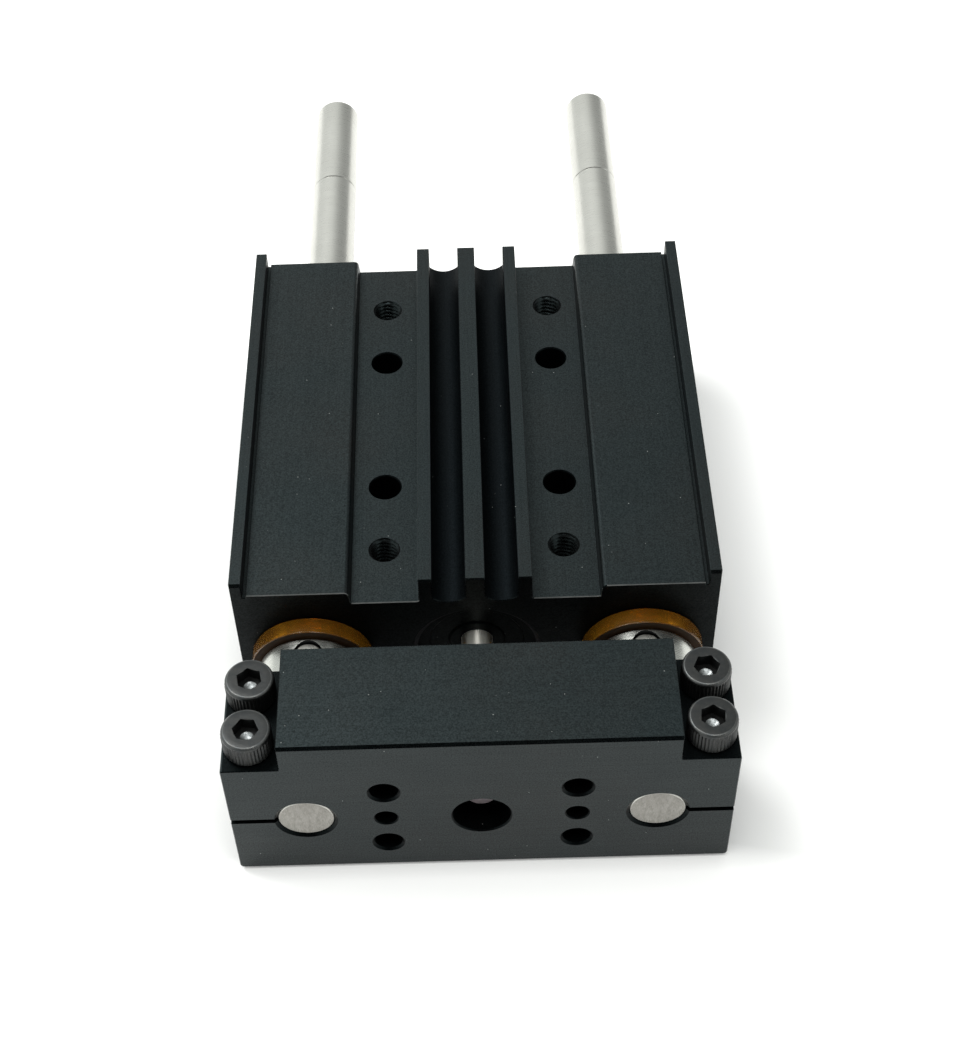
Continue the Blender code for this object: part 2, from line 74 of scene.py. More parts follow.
# =================================================================== materials
class Mat:
    """A small wrapper that keeps the node trees readable."""

    def __init__(self, name):
        self.m = bpy.data.materials.new(name)
        self.m.use_nodes = True
        self.t = self.m.node_tree
        self.b = self.t.nodes["Principled BSDF"]
        self.obj = self.t.nodes.new("ShaderNodeTexCoord").outputs["Object"]

    def node(self, kind):
        return self.t.nodes.new(kind)

    def put(self, value, socket):
        if isinstance(value, bpy.types.NodeSocket):
            self.t.links.new(value, socket)
        elif isinstance(value, tuple) and len(value) == 3 and socket.type == "RGBA":
            socket.default_value = (*value, 1.0)
        else:
            socket.default_value = value

    def set(self, **kw):
        for k, v in kw.items():
            self.put(v, self.b.inputs[k.replace("_", " ")])
        return self

    def scaled(self, sx, sy, sz, turn=(0, 0, 0)):
        n = self.node("ShaderNodeMapping")
        n.inputs["Scale"].default_value = (sx, sy, sz)
        n.inputs["Rotation"].default_value = turn
        self.t.links.new(self.obj, n.inputs["Vector"])
        return n.outputs["Vector"]

    def noise(self, scale, detail=2.0, rough=0.5, vector=None, warp=0.0):
        n = self.node("ShaderNodeTexNoise")
        n.inputs["Scale"].default_value = scale
        n.inputs["Detail"].default_value = detail
        n.inputs["Roughness"].default_value = rough
        n.inputs["Distortion"].default_value = warp
        self.t.links.new(vector or self.obj, n.inputs["Vector"])
        return n.outputs["Fac"]

    def ramp(self, fac, stops, mode="LINEAR"):
        n = self.node("ShaderNodeValToRGB")
        n.color_ramp.interpolation = mode
        e = n.color_ramp.elements
        while len(e) < len(stops):
            e.new(0.5)
        for el, (pos, col) in zip(e, stops):
            el.position = pos
            el.color = (*col, 1.0) if isinstance(col, tuple) else (col, col, col, 1.0)
        self.t.links.new(fac, n.inputs["Fac"])
        return n.outputs["Color"]

    def span(self, fac, lo, hi, a=0.0, b=1.0):
        n = self.node("ShaderNodeMapRange")
        n.clamp = True
        for i, v in zip(("From Min", "From Max", "To Min", "To Max"), (lo, hi, a, b)):
            n.inputs[i].default_value = v
        self.t.links.new(fac, n.inputs["Value"])
        return n.outputs["Result"]

    def mix(self, fac, a, b):
        n = self.node("ShaderNodeMix")
        n.data_type = "RGBA"
        self.put(fac, n.inputs["Factor"])
        self.put(a, n.inputs[6])
        self.put(b, n.inputs[7])
        return n.outputs[2]

    def math(self, op, a, b=0.0):
        n = self.node("ShaderNodeMath")
        n.operation = op
        self.put(a, n.inputs[0])
        self.put(b, n.inputs[1])
        return n.outputs[0]

    def bump(self, height, strength, distance, normal=None):
        n = self.node("ShaderNodeBump")
        n.inputs["Strength"].default_value = strength
        n.inputs["Distance"].default_value = distance
        self.t.links.new(height, n.inputs["Height"])
        if normal:
            self.t.links.new(normal, n.inputs["Normal"])
        return n.outputs["Normal"]

    def flecks(self, cell, size, share):
        """Scattered dots: cell spacing and dot radius in metres."""
        n = self.node("ShaderNodeTexVoronoi")
        n.inputs["Scale"].default_value = 1.0 / cell
        self.t.links.new(self.obj, n.inputs["Vector"])
        near = self.span(n.outputs["Distance"], size / cell, size / cell * 1.5, 1.0, 0.0)
        sep = self.node("ShaderNodeSeparateColor")
        self.t.links.new(n.outputs["Color"], sep.inputs["Color"])
        pick = self.math("LESS_THAN", sep.outputs[0], share)
        return self.math("MULTIPLY", near, pick)

    def radius(self):
        """Distance from the piece's own turning axis (local Z)."""
        sep = self.node("ShaderNodeSeparateXYZ")
        self.t.links.new(self.obj, sep.inputs[0])
        xx = self.math("MULTIPLY", sep.outputs[0], sep.outputs[0])
        yy = self.math("MULTIPLY", sep.outputs[1], sep.outputs[1])
        return self.math("SQRT", self.math("ADD", xx, yy))

    def done(self):
        return self.m


def anodised(name, along, worn=0.0, brown=0.5, dust=0.5, rough=0.36, base=1.0, gloss=0.31, painted_highlight=0.0):
    """Black anodised aluminium. along: scale triple that stretches the tool or
    die marks; worn: share of the surface worn through to bright metal;
    base below 1 darkens the colour for copies used where shade falls
    (painted shade); the last argument pales the colour evenly towards grey,
    a painted highlight along an edge."""
    k = Mat(name)
    patch = k.span(k.noise(38.0, 3.0, 0.55), 0.40, 0.68, 0.0, brown)
    # base below 1 scales the anodising colour down: painted shade
    dye_with_painted_light = k.mix(patch, (0.0012 * base, 0.0021 * base, 0.0026 * base), (0.0060 * base, 0.0028 * base, 0.0017 * base))
    cloud = k.noise(2100.0, 3.0, 0.7)
    dye_with_painted_light = k.mix(k.span(cloud, 0.42, 0.72), dye_with_painted_light, (0.0044 * base, 0.0057 * base, 0.0060 * base))
    # even paling towards grey: painted highlight
    if painted_highlight:
        dye_with_painted_light = k.mix(k.span(k.noise(500.0, 3.0, 0.6), 0.2, 0.8, painted_highlight * 0.5, painted_highlight), dye_with_painted_light, (0.16, 0.165, 0.16))
    speck = k.flecks(0.0024, 0.00007, dust)
    lint = k.math("MULTIPLY", k.span(k.noise(2200.0, 1.0), 0.80, 0.84), k.span(k.noise(160.0, 1.0), 0.52, 0.60))
    dirt = k.math("MAXIMUM", speck, lint)
    colour = k.mix(dirt, dye_with_painted_light, (0.26, 0.27, 0.26))
    marks = k.noise(1.0, 2.0, 0.6, k.scaled(*along))
    grain = k.noise(5200.0, 2.0, 0.65)
    ro = k.math("ADD", k.span(grain, 0.25, 0.75, rough - 0.05, rough + 0.07), k.span(k.noise(120.0, 3.0), 0.3, 0.7, -0.02, 0.03))
    normal = k.bump(grain, 0.30, 0.000012)
    normal = k.bump(marks, 0.22, 0.000012, normal)
    if worn:
        tear = k.math("MULTIPLY", k.span(k.noise(420.0, 4.0, 0.7), 0.62 - 0.30 * worn, 0.70 - 0.30 * worn),
                      k.span(k.noise(70.0, 2.0), 0.55 - 0.35 * worn, 0.66 - 0.35 * worn))
        colour = k.mix(tear, colour, (0.60, 0.61, 0.60))
        k.set(Metallic=tear)
        ro = k.math("ADD", ro, k.math("MULTIPLY", tear, -0.06))
        normal = k.bump(k.noise(1500.0, 3.0), 0.35, 0.00004, normal)
    else:
        k.set(Metallic=0.0)
    tooth = k.math("ADD", k.span(k.noise(3900.0, 2.0, 0.6), 0.34, 0.66, gloss * 0.62, gloss * 1.40), k.span(marks, 0.3, 0.7, -gloss * 0.08, gloss * 0.08))
    k.set(Base_Color=colour, Roughness=ro, Normal=normal, Specular_IOR_Level=tooth)
    k.b.inputs["Specular Tint"].default_value = (0.74, 0.97, 1.0, 1.0)
    return k.done()


def ground_steel(name, lines=True, ends=False, tint=(0.63, 0.625, 0.585), dark=(0.50, 0.495, 0.46), rough=0.30, drawn=0.0):
    """Ground or turned bright steel; the grinding marks run round the axis."""
    k = Mat(name)
    soft = k.noise(60.0, 3.0, 0.6)
    around = k.noise(1.0, 3.0, 0.65, k.scaled(260.0, 260.0, 5200.0))
    stain = k.span(k.noise(210.0, 4.0, 0.6), 0.60, 0.78)
    tone = k.mix(k.span(soft, 0.35, 0.68), tint, tuple(0.5 * (a + b) for a, b in zip(tint, dark)))
    tone = k.mix(k.math("MULTIPLY", stain, 0.35), tone, dark)
    if ends:
        r = k.radius()
        sweep = k.noise(1.0, 5.0, 0.7, k.scaled(2100.0, 620.0, 2100.0, (0, 0, 0.7)), 1.4)
        rings = k.math("SINE", k.math("MULTIPLY", r, 13000.0))
        height = k.math("ADD", k.math("MULTIPLY", rings, 0.15), sweep)
        tone = k.mix(k.span(sweep, 0.35, 0.65), tone, dark)
        normal = k.bump(height, 0.55, 0.00003)
        ro = k.span(sweep, 0.3, 0.7, rough + 0.06, rough + 0.20)
    else:
        normal = k.bump(around, 0.35 if lines else 0.12, 0.000008)
        ro = k.span(around, 0.3, 0.7, rough - 0.05, rough + 0.06)
    k.set(Base_Color=tone, Metallic=1.0, Roughness=ro, Normal=normal)
    if drawn:
        turn = k.node("ShaderNodeTangent")
        turn.direction_type, turn.axis = "RADIAL", "Z"
        k.set(Anisotropic=drawn, Anisotropic_Rotation=0.25, Tangent=turn.outputs["Tangent"])
    return k.done()


def black_oxide(name, rub=0.0, rough=0.34, shade=0.032):
    """Chemically blackened steel with worn high spots."""
    k = Mat(name)
    cloud = k.noise(700.0, 3.0, 0.6)
    dark = k.mix(k.span(cloud, 0.35, 0.7), tuple(shade * c for c in (0.92, 1.0, 1.02)), tuple(shade * c for c in (1.38, 1.40, 1.34)))
    wear = k.math("MULTIPLY", k.span(k.noise(1800.0, 3.0, 0.7), 0.60 - 0.2 * rub, 0.74 - 0.2 * rub), 0.2 + 0.5 * rub)
    tone = k.mix(wear, dark, (3.2 * shade, 3.0 * shade, 2.7 * shade))
    ro = k.span(k.noise(2600.0, 2.0), 0.3, 0.7, rough - 0.06, rough + 0.08)
    k.set(Base_Color=tone, Metallic=0.75, Roughness=ro,
          Normal=k.bump(k.noise(3600.0, 2.0, 0.6), 0.25, 0.000015))
    return k.done()


def plain_metal(name, tint, dark, rough, scale=(600.0, 600.0, 600.0), metallic=1.0, bump=0.25):
    k = Mat(name)
    a = k.noise(1.0, 3.0, 0.6, k.scaled(*scale))
    b = k.noise(90.0, 3.0, 0.6)
    tone = k.mix(k.span(a, 0.3, 0.72), tint, dark)
    tone = k.mix(k.span(b, 0.5, 0.75, 0.0, 0.4), tone, dark)
    k.set(Base_Color=tone, Metallic=metallic, Roughness=k.span(a, 0.3, 0.7, rough - 0.05, rough + 0.08),
          Normal=k.bump(a, bump, 0.00001))
    return k.done()


def urethane(name, light, deep, clear, rough=0.15):
    """Cast amber polyurethane, slightly cloudy."""
    k = Mat(name)
    cloud = k.noise(160.0, 3.0, 0.6)
    fine = k.noise(1500.0, 2.0, 0.6)
    tone = k.mix(k.span(cloud, 0.35, 0.68), light, deep)
    tone = k.mix(k.span(fine, 0.66, 0.84, 0.0, 0.25), tone, tuple(0.6 * c for c in deep))
    k.set(Base_Color=tone, Metallic=0.0, Roughness=k.span(fine, 0.3, 0.7, rough, rough + 0.09),
          Transmission_Weight=clear, IOR=1.49, Subsurface_Weight=0.0,
          Normal=k.bump(k.noise(1.0, 2.0, 0.6, k.scaled(700.0, 700.0, 2400.0)), 0.15, 0.00002))
    return k.done()


def rubber(name, tint=(0.016, 0.016, 0.017)):
    k = Mat(name)
    a = k.noise(1300.0, 3.0, 0.6)
    tone = k.mix(k.span(a, 0.35, 0.7), tint, tuple(1.9 * c for c in tint))
    k.set(Base_Color=tone, Metallic=0.0, Roughness=k.span(a, 0.3, 0.7, 0.48, 0.66),
          Normal=k.bump(a, 0.3, 0.00002))
    return k.done()


EXTRUDED = anodised("anodised_extruded", (2600.0, 45.0, 2600.0), 0.0, 0.55, 0.45)
MILLED = anodised("anodised_milled", (60.0, 2600.0, 2600.0), 0.0, 0.65, 0.5)
FACED = anodised("anodised_faced", (70.0, 3000.0, 3000.0), 0.0, 0.5, 0.5, 0.36, 1.0, 0.225)
# housing end faces: sawn-end marks, with colour and gloss lowered as painted shade
END_FACE_PAINTED_SHADE = anodised("anodised_sawn_end_painted_shade", (70.0, 3000.0, 3000.0), 0.0, 0.4, 0.3, 0.40, 0.45, 0.11)
# plate notch floors: colour and gloss lowered, painted shade in the notches
RECESS_PAINTED_SHADE = anodised("anodised_recess_painted_shade", (2600.0, 2600.0, 2600.0), 0.0, 0.3, 0.3, 0.40, 0.4, 0.07)
# tapped holes: colour halved as painted shade, with a faint paling as painted highlight on the threads
THREAD_PAINTED_LIGHT = anodised("anodised_thread_painted_light", (900.0, 900.0, 900.0), 0.0, 0.2, 0.1, 0.24, 0.5, 0.29, 0.03)
# groove floors between the fins: colour, gloss and reflection tint lowered, painted shade in the grooves
GROOVE_PAINTED_SHADE = anodised("anodised_groove_painted_shade", (2600.0, 45.0, 2600.0), 0.0, 0.2, 0.3, 0.42, 0.5, 0.085)
GROOVE_PAINTED_SHADE.node_tree.nodes["Principled BSDF"].inputs["Specular Tint"].default_value = (0.60, 0.84, 1.0, 1.0)
# real wear through to bright metal, plus a paling towards grey as painted highlight
EDGE = anodised("anodised_edge", (900.0, 900.0, 900.0), 0.8, 0.5, 0.5, painted_highlight=0.35)
# pad and flat chamfers and the plate's bottom chamfers: strong paling towards grey, a painted highlight along the edges
PAINTED_HIGHLIGHT_EDGE = anodised("anodised_painted_highlight_edge", (900.0, 900.0, 900.0), 0.0, 0.5, 0.5, painted_highlight=0.85)
# rib, fin and plate chamfers: colour lowered, painted shade on edges that face the dark side of the room
PAINTED_SHADE_EDGE = anodised("anodised_painted_shade_edge", (900.0, 900.0, 900.0), 0.0, 0.3, 0.2, 0.26, 0.4, 0.26)
# bores, holes, the slit and the gland: colour and gloss lowered, painted shade inside them
BORE_PAINTED_SHADE = anodised("anodised_bore_painted_shade", (700.0, 700.0, 700.0), 0.0, 0.2, 0.25, 0.32, 0.4, 0.07)
SHAFT = ground_steel("shaft_ground")
# shaft end faces: real swirl marks, with the steel tint lowered as painted shade
SHAFT_END_PAINTED_SHADE = ground_steel("shaft_end_painted_shade", True, True, (0.36, 0.348, 0.322), (0.235, 0.226, 0.206), 0.36)
# rod end seen in the plate's centre hole: steel tint lowered, painted shade in the hole
ROD_END_PAINTED_SHADE = plain_metal("rod_end_turned_painted_shade", (0.25, 0.215, 0.225), (0.18, 0.155, 0.165), 0.60, (900.0, 900.0, 900.0))
COLLAR = ground_steel("collar_turned", True, False, (0.60, 0.61, 0.57), (0.46, 0.47, 0.44), 0.26)
OXIDE = black_oxide("oxide_head")
# screw heads' rounded top edge and socket mouth: lighter oxide, painted highlight
OXIDE_RIM_PAINTED_HIGHLIGHT = black_oxide("oxide_rim_painted_highlight", 0.2, 0.36, 0.075)
# knurled head sides: oxide darker than the head top, painted shade on the sides
OXIDE_KNURL_PAINTED_SHADE = black_oxide("oxide_knurl_painted_shade", 0.2, 0.42, 0.026)
# hex socket walls and the collar's set-screw hole: near-black, painted shade deep in the holes
OXIDE_DEEP_PAINTED_SHADE = black_oxide("oxide_deep_painted_shade", 0.0, 0.40, 0.010)
# socket bottom: bright metal in a black-oxide screw, painted highlight
SOCKET_PAINTED_HIGHLIGHT = plain_metal("socket_floor_painted_highlight", (0.36, 0.38, 0.38), (0.13, 0.14, 0.14), 0.36, (1500.0, 1500.0, 1500.0))
AMBER = urethane("amber_urethane", (0.62, 0.29, 0.022), (0.50, 0.19, 0.014), 0.86)
# pad front face: near-black copy of the urethane, painted shade
AMBER_FACE_PAINTED_SHADE = urethane("amber_urethane_face_painted_shade", (0.030, 0.014, 0.004), (0.018, 0.008, 0.003), 0.10, 0.50)
AMBER_FACE_PAINTED_SHADE.node_tree.nodes["Principled BSDF"].inputs["Specular IOR Level"].default_value = 0.15
BRONZE = plain_metal("bearing_bronze_turned", (0.56, 0.39, 0.20), (0.42, 0.27, 0.13), 0.36, (900.0, 900.0, 2600.0))
# piston rod: real ground finish, with the steel tint raised near white as painted highlight
ROD = ground_steel("rod_ground_painted_highlight", True, False, (0.90, 0.88, 0.80), (0.80, 0.78, 0.70), 0.44, 0.85)
SPRING = plain_metal("spring_steel_dark", (0.030, 0.030, 0.034), (0.018, 0.018, 0.020), 0.44, (1600.0, 1600.0, 1600.0), 0.8)
SEAL = rubber("seal_rubber_black")
ALLOY = plain_metal("piston_alloy_turned", (0.72, 0.73, 0.74), (0.58, 0.59, 0.60), 0.30, (500.0, 500.0, 4000.0))
MAGNET = plain_metal("magnet_ferrite", (0.085, 0.08, 0.078), (0.05, 0.048, 0.046), 0.52, (900.0, 900.0, 900.0), 0.3)
ZINC = plain_metal("zinc_plate", (0.62, 0.62, 0.58), (0.48, 0.47, 0.42), 0.30, (1100.0, 1100.0, 1100.0))


# ================================================================ mesh helpers
AXES = {
    "Z": Matrix.Identity(4),
    "Y": Matrix.Rotation(math.radians(-90.0), 4, "X"),   # local +Z -> +Y
    "X": Matrix.Rotation(math.radians(90.0), 4, "Y"),    # local +Z -> +X
}
scene = bpy.context.scene


def placed(name, bm, axis="Z", at=(0, 0, 0), mats=(), angle=38.0):
    mesh = bpy.data.meshes.new(name)
    bm.to_mesh(mesh)
    bm.free()
    for m in mats:
        mesh.materials.append(m)
    mesh.shade_smooth()
    mesh.set_sharp_from_angle(angle=math.radians(angle))
    obj = bpy.data.objects.new(name, mesh)
    scene.collection.objects.link(obj)
    obj.matrix_world = Matrix.Translation(Vector(at) * MM) @ AXES[axis]
    return obj


def rounded(points, closed, steps=3):
    """Points (u, v[, fillet]) with each corner replaced by an arc."""
    out, n = [], len(points)
    for i, p in enumerate(points):
        rad = p[2] if len(p) > 2 else 0.0
        if rad <= 0 or (not closed and i in (0, n - 1)):
            out.append((p[0], p[1], i))
            continue
        a, b, c = Vector(points[i - 1][:2]), Vector(p[:2]), Vector(points[(i + 1) % n][:2])
        va, vb = a - b, c - b
        la, lb = va.length, vb.length
        va, vb = va / la, vb / lb
        ang = math.acos(max(-1.0, min(1.0, va.dot(vb))))
        if ang > math.radians(168):
            out.append((p[0], p[1], i))
            continue
        d = min(rad / math.tan(ang / 2), la * 0.46, lb * 0.46)
        r = d * math.tan(ang / 2)
        centre = b + (va + vb).normalized() * (r / math.sin(ang / 2))
        s, e = b + va * d - centre, b + vb * d - centre
        a0 = math.atan2(s.y, s.x)
        sweep = math.atan2(s.x * e.y - s.y * e.x, s.dot(e))
        for k in range(steps + 1):
            t = a0 + sweep * k / steps
            out.append((centre.x + r * math.cos(t), centre.y + r * math.sin(t), i))
    return out


def lathe(name, profile, axis, at, mats, segments=SEG, hollow=False, tags=None, steps=2, shape=None):
    """Turned piece: profile (radius, t[, fillet]); tags gives the material of
    the band that starts at each profile point; shape(angle, r, t) may vary r."""
    pts = rounded(profile, hollow, steps)
    bm = bmesh.new()
    rings = []
    for r, t, _ in pts:
        if r < 1e-6:
            rings.append([bm.verts.new((0, 0, t * MM))])
        else:
            ring = []
            for j in range(segments):
                a = TAU * j / segments
                q = shape(a, r, t) if shape else r
                ring.append(bm.verts.new((q * MM * math.cos(a), q * MM * math.sin(a), t * MM)))
            rings.append(ring)
    pairs = list(zip(range(len(pts) - 1), range(1, len(pts))))
    if hollow:
        pairs.append((len(pts) - 1, 0))
    for i, j in pairs:
        a, b = rings[i], rings[j]
        src = pts[i][2]
        m = (tags or {}).get(src, 0) if (pts[j][2] != src) else (tags or {}).get(("c", src), 0)
        for k in range(segments):
            k2 = (k + 1) % segments
            if len(a) == 1 and len(b) == 1:
                continue
            if len(a) == 1:
                f = bm.faces.new((a[0], b[k], b[k2]))
            elif len(b) == 1:
                f = bm.faces.new((a[k], b[0], a[k2]))
            else:
                f = bm.faces.new((a[k], b[k], b[k2], a[k2]))
            f.material_index = m
    bmesh.ops.recalc_face_normals(bm, faces=bm.faces)
    return placed(name, bm, axis, at, mats)


def thread_shape(mouth, minor, major, pitch, hand=1.0):
    """Radius of an internal vee thread whose mouth cone starts at t = 0."""
    def at(angle, r, t):
        ph = (t / pitch - hand * angle / TAU) % 1.0
        tri = 1.0 - abs(2.0 * ph - 1.0)
        tri = min(1.0, max(0.0, (tri - 0.10) / 0.80))
        return max(minor + (major - minor) * tri, mouth(t))
    return at


def thread_cutter(name, axis, at, depth, minor, major, pitch, mouth_r, through=False, flip=False, segments=32):
    """Helical vee thread running from t = 0 down to -depth."""
    rows = int(depth / pitch * 7)
    c = mouth_r - minor

    def mouth(t):
        m = mouth_r + t
        if through:
            m = max(m, mouth_r - (depth + t))
        return m
    shape = thread_shape(mouth, minor, major, pitch)
    bm = bmesh.new()

    def ring(t, fn):
        out = []
        for j in range(segments):
            a = TAU * j / segments
            r = fn(a, t)
            out.append(bm.verts.new((r * MM * math.cos(a), r * MM * math.sin(a), t * MM)))
        return out
    rings = [ring(1.6, lambda a, t: mouth_r + 1.6)]
    first, last = -0.04, (-depth + 0.04 if through else -depth)
    for i in range(rows + 1):
        rings.append(ring(first + (last - first) * i / rows, lambda a, t: shape(a, 0, t)))
    if through:
        rings.append(ring(-depth - 1.6, lambda a, t: mouth_r + 1.6))
    else:
        rings.append(ring(-depth - 0.35, lambda a, t: minor - 0.05))
    for a, b in zip(rings, rings[1:]):
        for k in range(segments):
            k2 = (k + 1) % segments
            bm.faces.new((a[k], b[k], b[k2], a[k2]))
    top = bm.verts.new((0, 0, 1.6 * MM))
    end = bm.verts.new((0, 0, (-depth - 1.6) * MM))
    for k in range(segments):
        k2 = (k + 1) % segments
        bm.faces.new((top, rings[0][k], rings[0][k2]))
        bm.faces.new((end, rings[-1][k2], rings[-1][k]))
    bmesh.ops.recalc_face_normals(bm, faces=bm.faces)
    return placed(name, bm, axis, at)


def block(name, lo, hi, turn=None, at=(0, 0, 0)):
    bm = bmesh.new()
    size = [(b - a) * MM for a, b in zip(lo, hi)]
    mid = [(a + b) / 2 * MM for a, b in zip(lo, hi)]
    bmesh.ops.create_cube(bm, size=1.0, matrix=Matrix.Translation(mid) @ Matrix.Diagonal((*size, 1.0)))
    return placed(name, bm, "Z", at)


def hexagon(name, flats, t0, t1, axis, at, spin=0.0):
    bm = bmesh.new()
    bmesh.ops.create_cone(bm, cap_ends=True, segments=6, radius1=flats / math.sqrt(3) * MM,
                          radius2=flats / math.sqrt(3) * MM, depth=(t1 - t0) * MM,
                          matrix=Matrix.Translation((0, 0, (t0 + t1) / 2 * MM)) @ Matrix.Rotation(spin, 4, "Z"))
    return placed(name, bm, axis, at)


def cut(target, cutters, index=3):
    """All cutters of a piece in one exact Boolean, then made real.
    cutters: object, or (object, material index of the cut faces)."""
    group = bpy.data.collections.new(target.name + "_cutters")
    scene.collection.children.link(group)
    for c in cutters:
        c, m = c if isinstance(c, tuple) else (c, index)
        c.data.materials.clear()
        for s in target.data.materials:
            c.data.materials.append(s)
        for p in c.data.polygons:
            p.material_index = m
        scene.collection.objects.unlink(c)
        group.objects.link(c)
    mod = target.modifiers.new("Cut", "BOOLEAN")
    mod.operation, mod.operand_type, mod.collection, mod.solver = "DIFFERENCE", "COLLECTION", group, "EXACT"
    bpy.context.view_layer.update()
    made = bpy.data.meshes.new_from_object(target.evaluated_get(bpy.context.evaluated_depsgraph_get()))
    target.modifiers.clear()
    old = target.data
    target.data = made
    made.name = target.name
    bpy.data.meshes.remove(old)
    for c in list(group.objects):
        bpy.data.objects.remove(c, do_unlink=True)
    bpy.data.collections.remove(group)
    bm = bmesh.new()
    bm.from_mesh(made)
    bmesh.ops.remove_doubles(bm, verts=bm.verts, dist=0.0000005)
    bm.to_mesh(made)
    bm.free()
    made.shade_smooth()
    made.set_sharp_from_angle(angle=math.radians(32.0))
    return target


def even_shading(obj):
    """Flat faces stay flat-lit beside their rounded edges."""
    mod = obj.modifiers.new("Normals", "WEIGHTED_NORMAL")
    mod.keep_sharp = True
    mod.weight = 60
    return obj


def inset(points, widths):
    """Each edge of a closed counter-clockwise outline moved inwards."""
    n, out = len(points), []
    lines = []
    for i in range(n):
        a, b = Vector(points[i][:2]), Vector(points[(i + 1) % n][:2])
        d = (b - a).normalized()
        normal = Vector((-d.y, d.x))
        lines.append((a + normal * widths[i], d, normal))
    for i in range(n):
        (p, d, _), (q, e, m) = lines[i - 1], lines[i]
        cross = d.x * e.y - d.y * e.x
        if abs(cross) < 1e-4:
            r = Vector(points[i][:2]) + m * widths[i]
        else:
            w = q - p
            r = p + d * ((w.x * e.y - w.y * e.x) / cross)
        fillet = points[i][2] if len(points[i]) > 2 else 0.0
        if fillet:
            c = (widths[i - 1] + widths[i]) / 2
            fillet = max(0.03, fillet - c) if cross > 0 else fillet + c
        out.append((r.x, r.y, fillet))
    return out


def prism(name, points, y0, y1, near, far, mats, steps=3, tag=None, tag_far=None, side=None):
    """Outline in X-Z swept from y0 to y1, each end edge chamfered by its own
    width.  Materials: 0 swept faces, 1 end faces, 2 chamfers, 3 cut faces;
    tag, tag_far and side give the front chamfer's, rear chamfer's and swept
    face's material edge by edge."""
    n = len(points)
    full = rounded(points, True, steps)
    ends = [rounded(inset(points, near), True, steps), rounded(inset(points, far), True, steps)]
    bm = bmesh.new()

    def ring(outline, depth, y, sign):
        made = []
        for x, z, i in outline:
            made.append(bm.verts.new((x * MM, (y + sign * (depth[i] if depth else 0.0)) * MM, z * MM)))
        return made
    dn = [max(near[i - 1], near[i]) for i in range(n)]
    df = [max(far[i - 1], far[i]) for i in range(n)]
    r0 = ring(ends[0], None, y0, 1)
    r1 = ring(full, dn, y0, 1)
    r2 = ring(full, df, y1, -1)
    r3 = ring(ends[1], None, y1, -1)
    for a, b, m, tags in ((r0, r1, 2, tag), (r1, r2, 0, side), (r2, r3, 2, tag_far)):
        for k in range(len(a)):
            k2 = (k + 1) % len(a)
            f = bm.faces.new((a[k], a[k2], b[k2], b[k]))
            f.material_index = tags[full[k][2]] if tags else m
    bm.faces.new(r0).material_index = 1
    bm.faces.new(list(reversed(r3))).material_index = 1
    bmesh.ops.recalc_face_normals(bm, faces=bm.faces)
    return placed(name, bm, "Z", (0, 0, 0), mats)


def mirrored(half):
    return half + [(-p[0], *p[1:]) for p in reversed(half)]


def piece(obj, body, node):
    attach(obj, body)
    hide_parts(*([node] if isinstance(node, str) else node))
    return obj


SIDES = (("left", -1), ("right", 1))

# ===================================================================== housing
sag, hg = 1.3, 3.0
gr = (hg * hg + sag * sag) / (2 * sag)
ga = math.asin(hg / gr)
groove = [(4.8 + gr * math.sin(ga * (1 - i / 8.0)), 30.5 + gr - gr * math.cos(ga * (1 - i / 8.0))) for i in range(17)]
half = ([(HALF_W, 0.0, 0.6), (HALF_W, FIN_Z, 0.2), (RIB_X, FIN_Z, 0.1), (RIB_X, PAD_Z - 0.6, 0.08),
         (41.7, PAD_Z - 0.6, 0.08), (41.7, PAD_Z, 0.12), (23.1, PAD_Z, 0.85), (22.75, FLAT_Z, 0.12),
         (10.35, FLAT_Z, 0.32), (10.35, FIN_Z, 0.12), (7.8, FIN_Z, 0.12)]
        + groove + [(1.8, FIN_Z, 0.12)])
outline = mirrored(half)


def widths_for(points, rule):
    n = len(points)
    return [rule(points[i], points[(i + 1) % n]) for i in range(n)]


def front_rule(a, b):
    if a[1] > FIN_Z - 0.05 and b[1] > FIN_Z - 0.05:
        return 0.50 if abs(a[0]) > 40 else 0.28
    if a[1] == b[1] and a[1] in (PAD_Z, FLAT_Z):
        return 0.16
    return 0.14


# pad and flat chamfers take the painted highlight edge (2); the rest the painted shade edge (4)
def painted_edge_rule(a, b):
    return 2 if (a[1] == b[1] and a[1] in (PAD_Z, FLAT_Z)) else 4


# groove floors between the fins take the darker copy (5): painted shade
def groove_rule(a, b):
    return 5 if (max(abs(a[0]), abs(b[0])) < 7.9 and min(a[1], b[1]) < FIN_Z - 0.05) else 0


